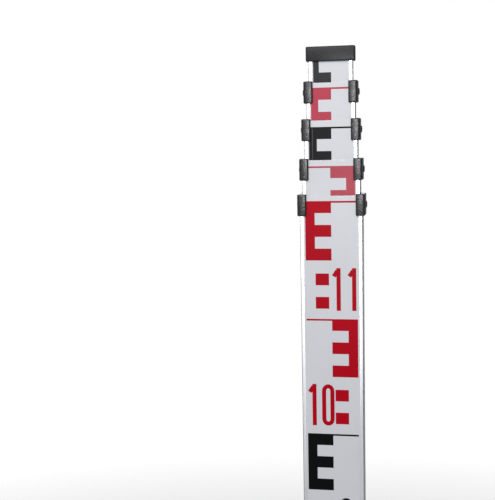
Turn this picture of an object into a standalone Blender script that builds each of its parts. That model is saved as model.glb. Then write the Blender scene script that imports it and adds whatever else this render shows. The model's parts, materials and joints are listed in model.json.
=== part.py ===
"""A five-section telescopic leveling rod, standing closed on its foot.

Metres, +Z up. The origin is the centre of the foot's underside. The printed E face looks along -Y and the
centimetre scale along +Y. Every section is the same extruded shape, set in by one step from the section
around it.
"""

import math

import bmesh
import bpy

# ---- The nest of tubes ----
SECTION_COUNT = 5
OUTER_WIDTH = 0.0524  # across the outermost tube, along X
OUTER_DEPTH = 0.0270  # front to back, along Y
SECTION_STEP = 0.00385  # each tube is this much narrower and shallower than the one around it
TUBE_WALL = 0.0014
CHAMFER_ANGLE = math.radians(57)  # between the back face and the sloping corner beside it
OUTER_CHAMFER = 0.00635  # how far the outermost tube's sloping corner reaches in from its side

# ---- Heights of the closed rod ----
OUTER_TUBE_TOP = 1.1043
TOP_STEPS = (0.0297, 0.0329, 0.0311, 0.0276)  # each tube above the one around it, outermost first
FOOT_PLATE_THICKNESS = 0.0030
FOOT_FLANGE = 0.0020
FOOT_PLUG_HEIGHT = 0.0099
GUIDE_PITCH = 0.0400  # from one guide plug's underside to the next one's
GUIDE_FLANGE = 0.0030

# ---- Lock holes ----
OUTER_LOCK_BELOW_TOP = 0.1943  # in the outermost tube, for the second section's button
UPPER_LOCK_BELOW_TOP = 0.0875  # in the second tube; the sections inside it all travel as far as the third

# ---- Grooves and printed films ----
BACK_FILM_WIDTH = 0.0276
BACK_GROOVE_WIDTH = 0.0009
LEAST_RAIL = 0.0022  # the flat rail left beside the groove on the narrowest tube
FRONT_RAIL = 0.0030
FRONT_EDGE = 0.0006  # the small slope on each front corner
RECESS_DEPTH = 0.0004
GROOVE_DEPTH = 0.0008
FILM_THICKNESS = 0.0002
FILM_GAP = 0.00005
FILM_END_MARGIN = 0.0015

# ---- Collars and cap ----
COLLAR_HEIGHT = 0.0184
COLLAR_SIDE = 0.0022
COLLAR_BACK = 0.0030
COLLAR_FRONT = 0.0018
COLLAR_LIP = 0.0056  # how far the collar's front edge reaches over the tube's face
COLLAR_PANEL_INSET = 0.0032  # the back panel is this much narrower, each side, than the tube's back face
COLLAR_RIM = 0.0012
COLLAR_FIT = 0.00015
RIM_FIT = 0.0002
MOULDED_EDGE = 0.0008
CAP_SKIRT = 0.0103
CAP_SIDE = 0.0019
CAP_ROOF = 0.0020

# ---- Clearances ----
SEAT_GAP = 0.0003  # between a piece and what it rests on
PLUG_FIT = 0.0002
GUIDE_FIT = 0.000225  # between a guide flange and the bore that it runs in
FOOT_PLATE_PROUD = 0.0003  # how far the wear plate stands out past the outermost tube
BUTTON_FIT = 0.0003  # round a button in its own tube's hole and in its pocket
LOCK_FIT = 0.0004  # round a button in the hole that it locks into
PIN_FIT = 0.0002
RIVET_FIT = 0.0002

# ---- Lock buttons ----
BUTTON_HEIGHT = 0.0255  # above its guide plug's underside
BUTTON_RADIUS = 0.0056
BUTTON_FLANGE_STEP = 0.0012  # how far the flange stands out round the stem
BUTTON_FLANGE = 0.0010
BUTTON_WALL_GAP = 0.0002  # from the held-in button to the tube around it
POCKET_FLOOR = 0.0014  # left in front of the pocket in the shallowest plug
FLANGE_REST_GAP = 0.00005
RAMP_ANGLE = math.radians(30)
RAMP_DEPTH = 0.0009
SPRING_WIRE = 0.0003  # radius of the wire
SPRING_INSET = 0.0013  # from the flange's rim to the middle of the wire
SPRING_TURNS = 4
SPRING_POINTS_PER_TURN = 12
SPRING_END_GAP = 0.0001

# ---- Fasteners ----
RIVET_HEAD_RADIUS = 0.00325
CAP_RIVET_HEAD_RADIUS = 0.0024
RIVET_HEAD_HEIGHT = 0.0011
RIVET_SET_BACK = 0.0014  # behind the middle of the flat side, for the collars' rivets
RIVET_SHANK_RADIUS = 0.0016
RIVET_DIMPLE_RADIUS = 0.0010
RIVET_DIMPLE_DEPTH = 0.0005
RIVET_HEAD_GAP = 0.00005
RIVET_SHORT = 0.00005  # the shank ends this much short of the tube's inner face
FOOT_RIVET_GRIP = 0.0040  # how far the foot's rivets reach into the plug
PIN_RADIUS = 0.0015
PIN_HEIGHT = 0.0120  # above the guide plug's underside
PIN_END_INSET = 0.0002
SCREW_SPACING = 0.0240
SCREW_HEAD_RADIUS = 0.0032
SCREW_HEAD_HEIGHT = 0.0018
SCREW_SHANK_RADIUS = 0.0016
SCREW_LENGTH = 0.0090
SCREW_FIT = 0.0002
SLOT_WIDTH = 0.0008
SLOT_DEPTH = 0.0007

# ---- Mesh fineness ----
HOLE_SIDES = 24
TURNED_STEPS = 20
PIN_SIDES = 16
CUTTER_OVERSHOOT = 0.002

BUTTON_FLANGE_RADIUS = BUTTON_RADIUS + BUTTON_FLANGE_STEP
OWN_HOLE_RADIUS = BUTTON_RADIUS + BUTTON_FIT
LOCK_HOLE_RADIUS = BUTTON_RADIUS + LOCK_FIT
POCKET_RADIUS = BUTTON_FLANGE_RADIUS + BUTTON_FIT
SPRING_RADIUS = BUTTON_FLANGE_RADIUS - SPRING_INSET
RIVET_HOLE_RADIUS = RIVET_SHANK_RADIUS + RIVET_FIT
PIN_HOLE_RADIUS = PIN_RADIUS + PIN_FIT
FOOT_PLUG_BASE = FOOT_PLATE_THICKNESS + SEAT_GAP
FOOT_PLUG_TOP = FOOT_PLUG_BASE + FOOT_PLUG_HEIGHT
# The outermost collar reaches as far in front of the origin as behind it.
BACK_Y = (OUTER_DEPTH - COLLAR_BACK + COLLAR_FRONT) / 2
FRONT_Y = BACK_Y - OUTER_DEPTH
SECTIONS = range(1, SECTION_COUNT + 1)
COLLARED_SECTIONS = range(1, SECTION_COUNT)
INNER_SECTIONS = range(2, SECTION_COUNT + 1)


# ---- Where things are, worked out from the sizes above ----
def inset(section):
    """How far a section's outer faces lie inside the outermost tube's."""
    return (section - 1) * SECTION_STEP / 2


def tube_top(section):
    return OUTER_TUBE_TOP + sum(TOP_STEPS[: section - 1])


def guide_bottom(section):
    """The second section's plug rests on the foot plug, and each one after it on the plug before."""
    return FOOT_PLUG_TOP + SEAT_GAP + (section - 2) * GUIDE_PITCH


def tube_bottom(section):
    if section == 1:
        return FOOT_PLUG_BASE + FOOT_FLANGE + SEAT_GAP
    return guide_bottom(section) + GUIDE_FLANGE + SEAT_GAP


def button_centre(section):
    return guide_bottom(section) + BUTTON_HEIGHT


def travel(section):
    """How far a section draws out before its button meets its lock hole."""
    if section == 2:
        return tube_top(1) - OUTER_LOCK_BELOW_TOP - button_centre(2)
    return tube_top(2) - UPPER_LOCK_BELOW_TOP - button_centre(3)


def back_face(section):
    return BACK_Y - inset(section)


def front_face(section):
    return FRONT_Y + inset(section)


def side_face(section):
    return OUTER_WIDTH / 2 - inset(section)


def back_corner_x(set_in):
    """Half the width of the flat back, for an outline set in by this much."""
    return OUTER_WIDTH / 2 - OUTER_CHAMFER - set_in * math.tan(CHAMFER_ANGLE / 2)


def side_corner_y(set_in):
    """Where the sloping corner meets the side, for an outline set in by this much."""
    fall = OUTER_CHAMFER * math.tan(CHAMFER_ANGLE)
    creep = set_in * (1 - math.sin(CHAMFER_ANGLE)) / math.cos(CHAMFER_ANGLE)
    return BACK_Y - fall - creep


def side_middle_y(section):
    """The middle of the flat part of a tube's side."""
    return (side_corner_y(inset(section)) + front_face(section)) / 2


def back_film_half(section):
    room = back_corner_x(inset(section)) - LEAST_RAIL - BACK_GROOVE_WIDTH
    return min(BACK_FILM_WIDTH / 2, room)


def pocket_floor_y(section):
    """Every pocket is as deep as the innermost, shallowest plug allows."""
    depth = back_face(SECTION_COUNT) - front_face(SECTION_COUNT) - TUBE_WALL - PLUG_FIT - POCKET_FLOOR
    return back_face(section) - depth


def button_out_travel():
    """From held in by the tube around it to level with that tube's back face."""
    return TUBE_WALL + BUTTON_WALL_GAP


# ---- Outlines: the right half from the middle of the back to the middle of the front ----
def mirrored(right_half):
    """A closed outline from its right half. Points on the middle line aren't doubled."""
    left_half = [(-x, y) for x, y in reversed(right_half) if x > 0]
    return right_half + left_half


def plain_outline(set_in):
    """The tube's shape without its grooves, set in from the outermost tube's faces."""
    side = OUTER_WIDTH / 2 - set_in
    return mirrored(
        [
            (back_corner_x(set_in), BACK_Y - set_in),
            (side, side_corner_y(set_in)),
            (side, FRONT_Y + set_in),
        ]
    )


def grooved_outline(section):
    """The tube's outer shape, with the recess and two grooves behind and the recess in front."""
    back, front, side = back_face(section), front_face(section), side_face(section)
    film = back_film_half(section)
    groove = film + BACK_GROOVE_WIDTH
    rail = side - FRONT_RAIL
    return mirrored(
        [
            (film, back - RECESS_DEPTH),
            (film, back - GROOVE_DEPTH),
            (groove, back - GROOVE_DEPTH),
            (groove, back),
            (back_corner_x(inset(section)), back),
            (side, side_corner_y(inset(section))),
            (side, front + FRONT_EDGE),
            (side - FRONT_EDGE, front),
            (rail, front),
            (rail, front + RECESS_DEPTH),
        ]
    )


def collar_outline(section):
    """A C that wraps the back, the corners and the sides, and hooks over the edges of the front."""
    set_in = inset(section)
    back, front, side = back_face(section), front_face(section), side_face(section)
    panel = back_corner_x(set_in) - COLLAR_PANEL_INSET
    slope_start = back_corner_x(set_in) + COLLAR_SIDE * math.sin(CHAMFER_ANGLE)
    slope_start_y = back + COLLAR_SIDE * math.cos(CHAMFER_ANGLE)
    outer = side + COLLAR_SIDE
    slope_end_y = slope_start_y - (outer - slope_start) * math.tan(CHAMFER_ANGLE)
    lip = side - COLLAR_LIP
    inside = back - 2 * TUBE_WALL
    return mirrored(
        [
            (panel, back + COLLAR_BACK),
            (slope_start, slope_start_y),
            (outer, slope_end_y),
            (outer, front - COLLAR_FRONT),
            (lip, front - COLLAR_FRONT),
            (lip, inside),
        ]
    )


def cap_outline():
    """The top cap's plan: the innermost tube's shape, grown by the cap's wall."""
    return plain_outline(inset(SECTION_COUNT) - CAP_SIDE)


# ---- Making solids ----
def clear_scene():
    for obj in list(bpy.data.objects):
        bpy.data.objects.remove(obj, do_unlink=True)


def new_collection(name):
    made = bpy.data.collections.new(name)
    bpy.context.scene.collection.children.link(made)
    return made


def material(name, colour, roughness, metallic):
    made = bpy.data.materials.new(name)
    made.use_nodes = True
    shader = made.node_tree.nodes["Principled BSDF"]
    shader.inputs["Base Color"].default_value = (*colour, 1)
    shader.inputs["Roughness"].default_value = roughness
    shader.inputs["Metallic"].default_value = metallic
    return made


def place(obj, collection):
    for owner in list(obj.users_collection):
        owner.objects.unlink(obj)
    collection.objects.link(obj)


def as_part(obj, name, finish):
    obj.name = name
    obj.data.name = name
    obj.data.materials.clear()
    obj.data.materials.append(finish)
    place(obj, PARTS)
    return obj


def as_cutter(obj, name):
    obj.name = name
    obj.hide_render = True
    obj.display_type = "WIRE"
    place(obj, CUTTERS)
    return obj


def meshed(curve_object):
    """The curve's solid as a mesh object, with its caps welded to its sides."""
    bpy.context.view_layer.update()
    graph = bpy.context.evaluated_depsgraph_get()
    mesh = bpy.data.meshes.new_from_object(curve_object.evaluated_get(graph))
    shape = bmesh.new()
    shape.from_mesh(mesh)
    bmesh.ops.remove_doubles(shape, verts=shape.verts, dist=1e-7)
    bmesh.ops.recalc_face_normals(shape, faces=shape.faces)
    shape.to_mesh(mesh)
    shape.free()
    made = bpy.data.objects.new(curve_object.name, mesh)
    made.matrix_world = curve_object.matrix_world
    bpy.context.scene.collection.objects.link(made)
    bpy.data.objects.remove(curve_object, do_unlink=True)
    return made


def extrusion(outlines, bottom, top):
    """A solid between two heights whose plan is one outline, less any further outlines inside it."""
    curve = bpy.data.curves.new("plan", "CURVE")
    curve.dimensions = "2D"
    curve.fill_mode = "BOTH"
    curve.extrude = (top - bottom) / 2
    for outline in outlines:
        spline = curve.splines.new("POLY")
        spline.points.add(len(outline) - 1)
        spline.use_cyclic_u = True
        for point, (x, y) in zip(spline.points, outline):
            point.co = (x, y, 0, 1)
    obj = bpy.data.objects.new("plan", curve)
    obj.location = (0, 0, (bottom + top) / 2)
    bpy.context.scene.collection.objects.link(obj)
    return meshed(obj)


def box(low, high):
    bpy.ops.mesh.primitive_cube_add(size=1)
    obj = bpy.context.object
    obj.location = [(a + b) / 2 for a, b in zip(low, high)]
    obj.scale = [b - a for a, b in zip(low, high)]
    bpy.ops.object.transform_apply(location=False, rotation=False, scale=True)
    return obj


def cylinder(radius, start, end, axis, across, sides=HOLE_SIDES):
    """A cylinder along X or Y between two values, with its other two coordinates given in order."""
    turn = {"X": (0, math.pi / 2, 0), "Y": (math.pi / 2, 0, 0), "Z": (0, 0, 0)}[axis]
    length = abs(end - start)
    bpy.ops.mesh.primitive_cylinder_add(vertices=sides, radius=radius, depth=length, rotation=turn)
    obj = bpy.context.object
    middle = (start + end) / 2
    obj.location = {
        "X": (middle, across[0], across[1]),
        "Y": (across[0], middle, across[1]),
        "Z": (across[0], across[1], middle),
    }[axis]
    return obj


def turned(profile, steps=TURNED_STEPS):
    """A solid of revolution about Z. The profile runs down its outer side, from the axis to the axis."""
    mesh = bpy.data.meshes.new("turned")
    mesh.from_pydata([(x, 0, z) for x, z in profile], [(i, i + 1) for i in range(len(profile) - 1)], [])
    obj = bpy.data.objects.new("turned", mesh)
    bpy.context.scene.collection.objects.link(obj)
    screw = obj.modifiers.new("turn", "SCREW")
    screw.axis = "Z"
    screw.steps = steps
    screw.render_steps = steps
    screw.use_merge_vertices = True
    screw.merge_threshold = 1e-6
    screw.use_smooth_shade = True
    return obj


def aim(obj, direction):
    """Turns an object's own +Z to one of the row's directions."""
    obj.rotation_euler = {
        "+X": (0, math.pi / 2, 0),
        "-X": (0, -math.pi / 2, 0),
        "+Y": (-math.pi / 2, 0, 0),
        "-Z": (math.pi, 0, 0),
    }[direction]


def cut(obj, cutter):
    step = obj.modifiers.new("cut " + cutter.name, "BOOLEAN")
    step.operation = "DIFFERENCE"
    step.solver = "EXACT"
    step.object = cutter


def join(obj, other):
    step = obj.modifiers.new("join " + other.name, "BOOLEAN")
    step.operation = "UNION"
    step.solver = "EXACT"
    step.object = other


def soften(obj, width):
    """Rounds the moulded edges."""
    step = obj.modifiers.new("edges", "BEVEL")
    step.width = width
    step.segments = 3
    step.limit_method = "ANGLE"
    step.angle_limit = math.radians(30)


# ---- Cutters that several pieces share ----
def back_hole(name, section, height, radius):
    """A round cutter through one tube's back wall and its film, and no further in."""
    inner = back_face(section) - TUBE_WALL - SEAT_GAP
    outer = back_face(section) + CUTTER_OVERSHOOT
    return as_cutter(cylinder(radius, inner, outer, "Y", (0, height)), name)


def make_back_holes(section):
    """Own button hole, lock hole and parking hole, as this section has them."""
    holes = []
    if section > 1:
        own = button_centre(section)
        holes.append(back_hole(f"own_button_hole_{section}", section, own, OWN_HOLE_RADIUS))
    if section < SECTION_COUNT:
        parked = button_centre(section + 1)
        locked = parked + travel(section + 1)
        holes.append(back_hole(f"parking_hole_{section}", section, parked, LOCK_HOLE_RADIUS))
        holes.append(back_hole(f"lock_hole_{section}", section, locked, LOCK_HOLE_RADIUS))
    return holes


def side_hole(name, section, height, radius, set_back=0):
    reach = side_face(section) + COLLAR_SIDE + CUTTER_OVERSHOOT
    across = (side_middle_y(section) + set_back, height)
    return as_cutter(cylinder(radius, -reach, reach, "X", across), name)


# ---- Sections ----
def make_tube(section):
    bottom, top = tube_bottom(section), tube_top(section)
    bore = plain_outline(inset(section) + TUBE_WALL)
    tube = extrusion([grooved_outline(section), bore], bottom, top)
    return as_part(tube, f"tube_{section}", ALUMINIUM)


def make_front_film(section):
    half = side_face(section) - FRONT_RAIL - FILM_GAP
    floor = front_face(section) + RECESS_DEPTH - FILM_GAP
    low = (-half, floor - FILM_THICKNESS, tube_bottom(section) + FILM_END_MARGIN)
    high = (half, floor, tube_top(section) - FILM_GAP)
    return as_part(box(low, high), f"front_scale_{section}", WHITE_FILM)


def make_back_film(section):
    half = back_film_half(section)
    floor = back_face(section) - RECESS_DEPTH + FILM_GAP
    low = (-half, floor, tube_bottom(section) + FILM_END_MARGIN)
    high = (half, floor + FILM_THICKNESS, tube_top(section) - FILM_GAP)
    return as_part(box(low, high), f"back_scale_{section}", SILVER_FILM)


def rivet_profile(grip, head_radius):
    """A domed blind rivet along Z, its head's underside at 0 and its shank's end at minus the grip."""
    dome_points = 4
    reach = head_radius - RIVET_DIMPLE_RADIUS
    angles = [math.pi / 2 * i / dome_points for i in range(dome_points + 1)]
    dome = [(RIVET_DIMPLE_RADIUS + reach * math.sin(a), RIVET_HEAD_HEIGHT * math.cos(a)) for a in angles]
    dimple_floor = RIVET_HEAD_HEIGHT - RIVET_DIMPLE_DEPTH
    dimple = [(0, dimple_floor), (RIVET_DIMPLE_RADIUS, dimple_floor)]
    shank = [(RIVET_SHANK_RADIUS, 0), (RIVET_SHANK_RADIUS, -grip), (0, -grip)]
    return dimple + dome + shank


def make_side_rivets(section, stem, height, seat, grip, set_back=0):
    """Two rivets facing out of the sides, their heads on faces this far from the middle."""
    for side, direction in (("left", "-X"), ("right", "+X")):
        sign = 1 if direction == "+X" else -1
        rivet = turned(rivet_profile(grip, RIVET_HEAD_RADIUS))
        aim(rivet, direction)
        rivet.location = (sign * (seat + RIVET_HEAD_GAP), side_middle_y(section) + set_back, height)
        as_part(rivet, f"{stem}_{side}", RIVET_STEEL)


def make_collar(section, tube):
    """The moulded collar on a tube's top, with the rivets that hold it."""
    top = tube_top(section)
    low, high = top + SEAT_GAP + COLLAR_RIM - COLLAR_HEIGHT, top + SEAT_GAP + COLLAR_RIM
    collar = as_part(extrusion([collar_outline(section)], low, high), f"collar_{section}", BLACK_PLASTIC)
    soften(collar, MOULDED_EDGE)
    seat = extrusion([plain_outline(inset(section) - COLLAR_FIT)], low - CUTTER_OVERSHOOT, top + SEAT_GAP)
    cut(collar, as_cutter(seat, f"collar_seat_{section}"))
    next_shape = plain_outline(inset(section + 1) - RIM_FIT)
    passage = extrusion([next_shape], low - CUTTER_OVERSHOOT, high + CUTTER_OVERSHOOT)
    cut(collar, as_cutter(passage, f"collar_passage_{section}"))
    rivet_height = (low + high) / 2
    name = f"collar_rivet_hole_{section}"
    hole = side_hole(name, section, rivet_height, RIVET_HOLE_RADIUS, RIVET_SET_BACK)
    cut(collar, hole)
    cut(tube, hole)
    grip = COLLAR_SIDE + TUBE_WALL + RIVET_HEAD_GAP - RIVET_SHORT
    seat_x = side_face(section) + COLLAR_SIDE
    make_side_rivets(section, f"collar_rivet_{section}", rivet_height, seat_x, grip, RIVET_SET_BACK)


def make_foot(tube):
    """The outermost tube's plug, steel wear plate, countersunk screws and side rivets."""
    plate = extrusion([plain_outline(-FOOT_PLATE_PROUD)], 0, FOOT_PLATE_THICKNESS)
    plate = as_part(plate, "foot_plate", STEEL)
    base = FOOT_PLUG_BASE
    flange = extrusion([plain_outline(0)], base, base + FOOT_FLANGE)
    plug = as_part(flange, "foot_plug", BLACK_PLASTIC)
    body = extrusion([plain_outline(TUBE_WALL + PLUG_FIT)], base + FOOT_FLANGE / 2, FOOT_PLUG_TOP)
    join(plug, as_cutter(body, "foot_plug_body"))
    for side, x in (("left", -SCREW_SPACING / 2), ("right", SCREW_SPACING / 2)):
        screw = turned(screw_profile(0))
        aim(screw, "-Z")
        screw.location = (x, 0, 0)
        cut(screw, as_cutter(screw_slot(x), f"foot_screw_slot_{side}"))
        as_part(screw, f"foot_screw_{side}", STEEL)
        hole = turned(screw_profile(SCREW_FIT))
        aim(hole, "-Z")
        hole.location = (x, 0, 0)
        as_cutter(hole, f"foot_screw_hole_{side}")
        cut(plate, hole)
        cut(plug, hole)
    rivet_height = (tube_bottom(1) + FOOT_PLUG_TOP) / 2
    sides = side_hole("foot_rivet_hole", 1, rivet_height, RIVET_HOLE_RADIUS)
    cut(tube, sides)
    cut(plug, sides)
    make_side_rivets(1, "foot_rivet", rivet_height, side_face(1), TUBE_WALL + FOOT_RIVET_GRIP)


def screw_profile(fit):
    """A countersunk screw along Z, head up at 0, grown by a fit all round for its hole."""
    above = CUTTER_OVERSHOOT if fit else -SEAT_GAP / 3
    return [
        (0, above),
        (SCREW_HEAD_RADIUS + fit, above),
        (SCREW_HEAD_RADIUS + fit, -SEAT_GAP),
        (SCREW_SHANK_RADIUS + fit, -SCREW_HEAD_HEIGHT),
        (SCREW_SHANK_RADIUS + fit, -SCREW_LENGTH - fit),
        (0, -SCREW_LENGTH - fit),
    ]


def screw_slot(x):
    low = (x - SCREW_HEAD_RADIUS, -SLOT_WIDTH / 2, -CUTTER_OVERSHOOT)
    high = (x + SCREW_HEAD_RADIUS, SLOT_WIDTH / 2, SLOT_DEPTH)
    return box(low, high)


def make_guide_plug(section, tube):
    """The moulded plug in an inner tube's end, with the pocket for its button and the pin that holds it."""
    bottom = guide_bottom(section)
    bore_inset = inset(section - 1) + TUBE_WALL
    flange = extrusion([plain_outline(bore_inset + GUIDE_FIT)], bottom, bottom + GUIDE_FLANGE)
    plug = as_part(flange, f"guide_plug_{section}", BLACK_PLASTIC)
    body_shape = plain_outline(inset(section) + TUBE_WALL + PLUG_FIT)
    body = extrusion([body_shape], bottom + GUIDE_FLANGE / 2, bottom + GUIDE_PITCH - SEAT_GAP)
    join(plug, as_cutter(body, f"guide_plug_body_{section}"))
    floor, mouth = pocket_floor_y(section), back_face(section)
    pocket = cylinder(POCKET_RADIUS, floor, mouth, "Y", (0, button_centre(section)))
    cut(plug, as_cutter(pocket, f"button_pocket_{section}"))
    hole = side_hole(f"plug_pin_hole_{section}", section, bottom + PIN_HEIGHT, PIN_HOLE_RADIUS)
    cut(plug, hole)
    cut(tube, hole)
    half = side_face(section) - PIN_END_INSET
    pin = cylinder(PIN_RADIUS, -half, half, "X", (side_middle_y(section), bottom + PIN_HEIGHT), PIN_SIDES)
    as_part(pin, f"plug_pin_{section}", STEEL)


def button_base_y(section):
    """The outer face of the button's flange while the button is held in."""
    return back_face(section) - TUBE_WALL - FLANGE_REST_GAP - button_out_travel()


def button_face_y(section):
    """The face that rubs on the tube around it while the button is held in."""
    return back_face(section) + SECTION_STEP / 2 - TUBE_WALL - BUTTON_WALL_GAP


def make_lock_button(section):
    """A flanged plunger. Its upper edge is ramped, so that drawing the section out pushes it in."""
    stem = button_face_y(section) - button_base_y(section)
    profile = [
        (0, stem),
        (BUTTON_RADIUS, stem),
        (BUTTON_RADIUS, 0),
        (BUTTON_FLANGE_RADIUS, 0),
        (BUTTON_FLANGE_RADIUS, -BUTTON_FLANGE),
        (0, -BUTTON_FLANGE),
    ]
    button = turned(profile, HOLE_SIDES)
    aim(button, "+Y")
    button.location = (0, button_base_y(section), button_centre(section))
    as_part(button, f"lock_button_{section}", BUTTON_BRASS)
    reach = 2 * BUTTON_RADIUS
    ramp = box((-reach, -reach, -reach / 2), (reach, reach, reach / 2))
    ramp.rotation_euler = (RAMP_ANGLE - math.pi / 2, 0, 0)
    edge = button_centre(section) + BUTTON_RADIUS - RAMP_DEPTH / math.tan(RAMP_ANGLE)
    ramp.location = (
        0,
        button_face_y(section) + math.cos(RAMP_ANGLE) * reach / 2,
        edge + math.sin(RAMP_ANGLE) * reach / 2,
    )
    cut(button, as_cutter(ramp, f"button_ramp_{section}"))


def make_lock_spring(section):
    """The coil spring between the pocket's floor and the button's flange."""
    start = pocket_floor_y(section) + SPRING_WIRE + SPRING_END_GAP
    end = button_base_y(section) - BUTTON_FLANGE - SPRING_WIRE - SPRING_END_GAP
    count = SPRING_TURNS * SPRING_POINTS_PER_TURN
    curve = bpy.data.curves.new("coil", "CURVE")
    curve.dimensions = "3D"
    curve.bevel_depth = SPRING_WIRE
    curve.bevel_resolution = 1
    curve.use_fill_caps = True
    spline = curve.splines.new("POLY")
    spline.points.add(count)
    for i, point in enumerate(spline.points):
        angle = 2 * math.pi * i / SPRING_POINTS_PER_TURN
        along = start + (end - start) * i / count
        x, z = SPRING_RADIUS * math.cos(angle), SPRING_RADIUS * math.sin(angle)
        point.co = (x, along, button_centre(section) + z, 1)
    coil = bpy.data.objects.new("coil", curve)
    bpy.context.scene.collection.objects.link(coil)
    as_part(coil, f"lock_spring_{section}", STEEL)


def make_top_cap():
    """The cap on the innermost tube, and the rivet through its back."""
    section = SECTION_COUNT
    top = tube_top(section)
    low, high = top + SEAT_GAP - CAP_SKIRT, top + SEAT_GAP + CAP_ROOF
    cap = as_part(extrusion([cap_outline()], low, high), "top_cap", BLACK_PLASTIC)
    soften(cap, MOULDED_EDGE)
    seat = extrusion([plain_outline(inset(section) - COLLAR_FIT)], low - CUTTER_OVERSHOOT, top + SEAT_GAP)
    cut(cap, as_cutter(seat, "cap_seat"))
    middle = (low + high) / 2
    outside = back_face(section) + CAP_SIDE
    inside = back_face(section) - TUBE_WALL - SEAT_GAP
    hole = cylinder(RIVET_HOLE_RADIUS, inside, outside + CUTTER_OVERSHOOT, "Y", (0, middle))
    as_cutter(hole, "cap_rivet_hole")
    cut(cap, hole)
    rivet = turned(rivet_profile(CAP_SIDE + TUBE_WALL, CAP_RIVET_HEAD_RADIUS))
    aim(rivet, "+Y")
    rivet.location = (0, outside + RIVET_HEAD_GAP, middle)
    as_part(rivet, "cap_rivet", RIVET_STEEL)
    return hole


def make_section(section):
    tube = make_tube(section)
    make_front_film(section)
    film = make_back_film(section)
    for hole in make_back_holes(section):
        cut(tube, hole)
        cut(film, hole)
    if section == 1:
        make_foot(tube)
    else:
        make_guide_plug(section, tube)
        make_lock_button(section)
        make_lock_spring(section)
    if section < SECTION_COUNT:
        make_collar(section, tube)
    else:
        rivet_hole = make_top_cap()
        cut(tube, rivet_hole)
        cut(film, rivet_hole)


clear_scene()
PARTS = new_collection("leveling_rod")
CUTTERS = new_collection("cutters")
ALUMINIUM = material("anodised aluminium", (0.62, 0.63, 0.65), 0.35, 1.0)
WHITE_FILM = material("white printed film", (0.66, 0.68, 0.72), 0.4, 0.0)
SILVER_FILM = material("silver printed film", (0.60, 0.62, 0.66), 0.4, 0.0)
BLACK_PLASTIC = material("black moulded plastic", (0.03, 0.03, 0.033), 0.5, 0.0)
STEEL = material("zinc plated steel", (0.55, 0.56, 0.58), 0.35, 1.0)
RIVET_STEEL = material("rivet steel", (0.7, 0.71, 0.72), 0.3, 1.0)
BUTTON_BRASS = material("nickel plated brass", (0.66, 0.64, 0.6), 0.3, 1.0)
for number in SECTIONS:
    make_section(number)
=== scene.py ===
# %% [markdown]
# # A telescopic leveling rod
# A leveling rod is a ruler that a surveyor reads from far away through a telescope. This one is five
# aluminium tubes that slide out of each other, with a bold E pattern printed in front and a fine
# centimetre scale behind. The solids come in ready made. This lesson gives them their finishes and adds
# what is printed, riveted and worn.

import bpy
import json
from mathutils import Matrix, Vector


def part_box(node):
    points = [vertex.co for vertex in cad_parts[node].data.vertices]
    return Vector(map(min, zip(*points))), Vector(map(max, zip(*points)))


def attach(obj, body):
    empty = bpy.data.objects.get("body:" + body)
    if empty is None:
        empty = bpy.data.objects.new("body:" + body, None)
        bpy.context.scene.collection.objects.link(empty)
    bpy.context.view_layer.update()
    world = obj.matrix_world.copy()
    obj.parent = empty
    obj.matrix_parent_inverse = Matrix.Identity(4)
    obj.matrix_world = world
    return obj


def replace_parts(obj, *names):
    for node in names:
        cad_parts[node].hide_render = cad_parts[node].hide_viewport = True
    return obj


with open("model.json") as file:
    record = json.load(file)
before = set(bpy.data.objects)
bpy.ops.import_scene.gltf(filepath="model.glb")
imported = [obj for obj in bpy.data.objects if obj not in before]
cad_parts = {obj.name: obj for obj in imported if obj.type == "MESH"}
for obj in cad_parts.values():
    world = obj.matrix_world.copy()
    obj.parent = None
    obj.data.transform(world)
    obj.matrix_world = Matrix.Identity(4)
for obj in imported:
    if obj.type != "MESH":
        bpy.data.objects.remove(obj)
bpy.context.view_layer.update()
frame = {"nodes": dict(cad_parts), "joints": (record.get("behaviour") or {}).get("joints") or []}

# %% Tools and measures
import json
import math

import bpy
import mathutils
import numpy as np

MM = 0.001
SECTIONS = range(1, 6)
COLLARED = range(1, 5)
NODES = frame["nodes"]


def travels():
    """How far each slide joint runs, by the section that it moves."""
    return {j["child"]: j["range_m"][1] for j in frame["joints"] if j["child"].startswith("section")}


def reading_offsets():
    """What to add to a height on the closed rod to read it: the travel of every slide below."""
    offsets, total = {}, 0.0
    for section in SECTIONS:
        total += travels().get(f"section_{section}", 0.0)
        offsets[section] = total
    return offsets


OFFSETS = reading_offsets()
print("readings start at", {k: round(v, 3) for k, v in OFFSETS.items()})

# %% [markdown]
# ## Putting arrays into meshes
# Everything printed on the rod is a very thin layer of ink. An image texture goes soft close up, where a
# real print has crisp edges, so each mark is a tiny closed slab instead, worked out as numpy arrays. A
# slab is planned flat: u runs to the reader's right, v up the rod, w out of the face. A face then puts it
# in place.

# %% Faces of the rod that carry print


class Face:
    """One flat printed face. It turns (u, v, w) into the rod's own X, Y, Z.

    In front, u is +X and w is -Y. Behind, the reader stands on the other side, so u is -X and w is +Y.
    """

    def __init__(self, node, front):
        low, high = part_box(node)
        self.sign = 1.0 if front else -1.0
        self.surface = low.y if front else high.y
        self.half = high.x
        self.bottom, self.top = low.z, high.z

    def place(self, points):
        u, v, w = np.asarray(points, float).T
        return np.column_stack([self.sign * u, self.surface - self.sign * w, v])


FRONT = {k: Face(f"front_scale_{k}", True) for k in SECTIONS}
BACK = {k: Face(f"back_scale_{k}", False) for k in SECTIONS}
print("front print half widths, mm:", [round(FRONT[k].half / MM, 1) for k in SECTIONS])

# %% Three kinds of slab


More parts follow.
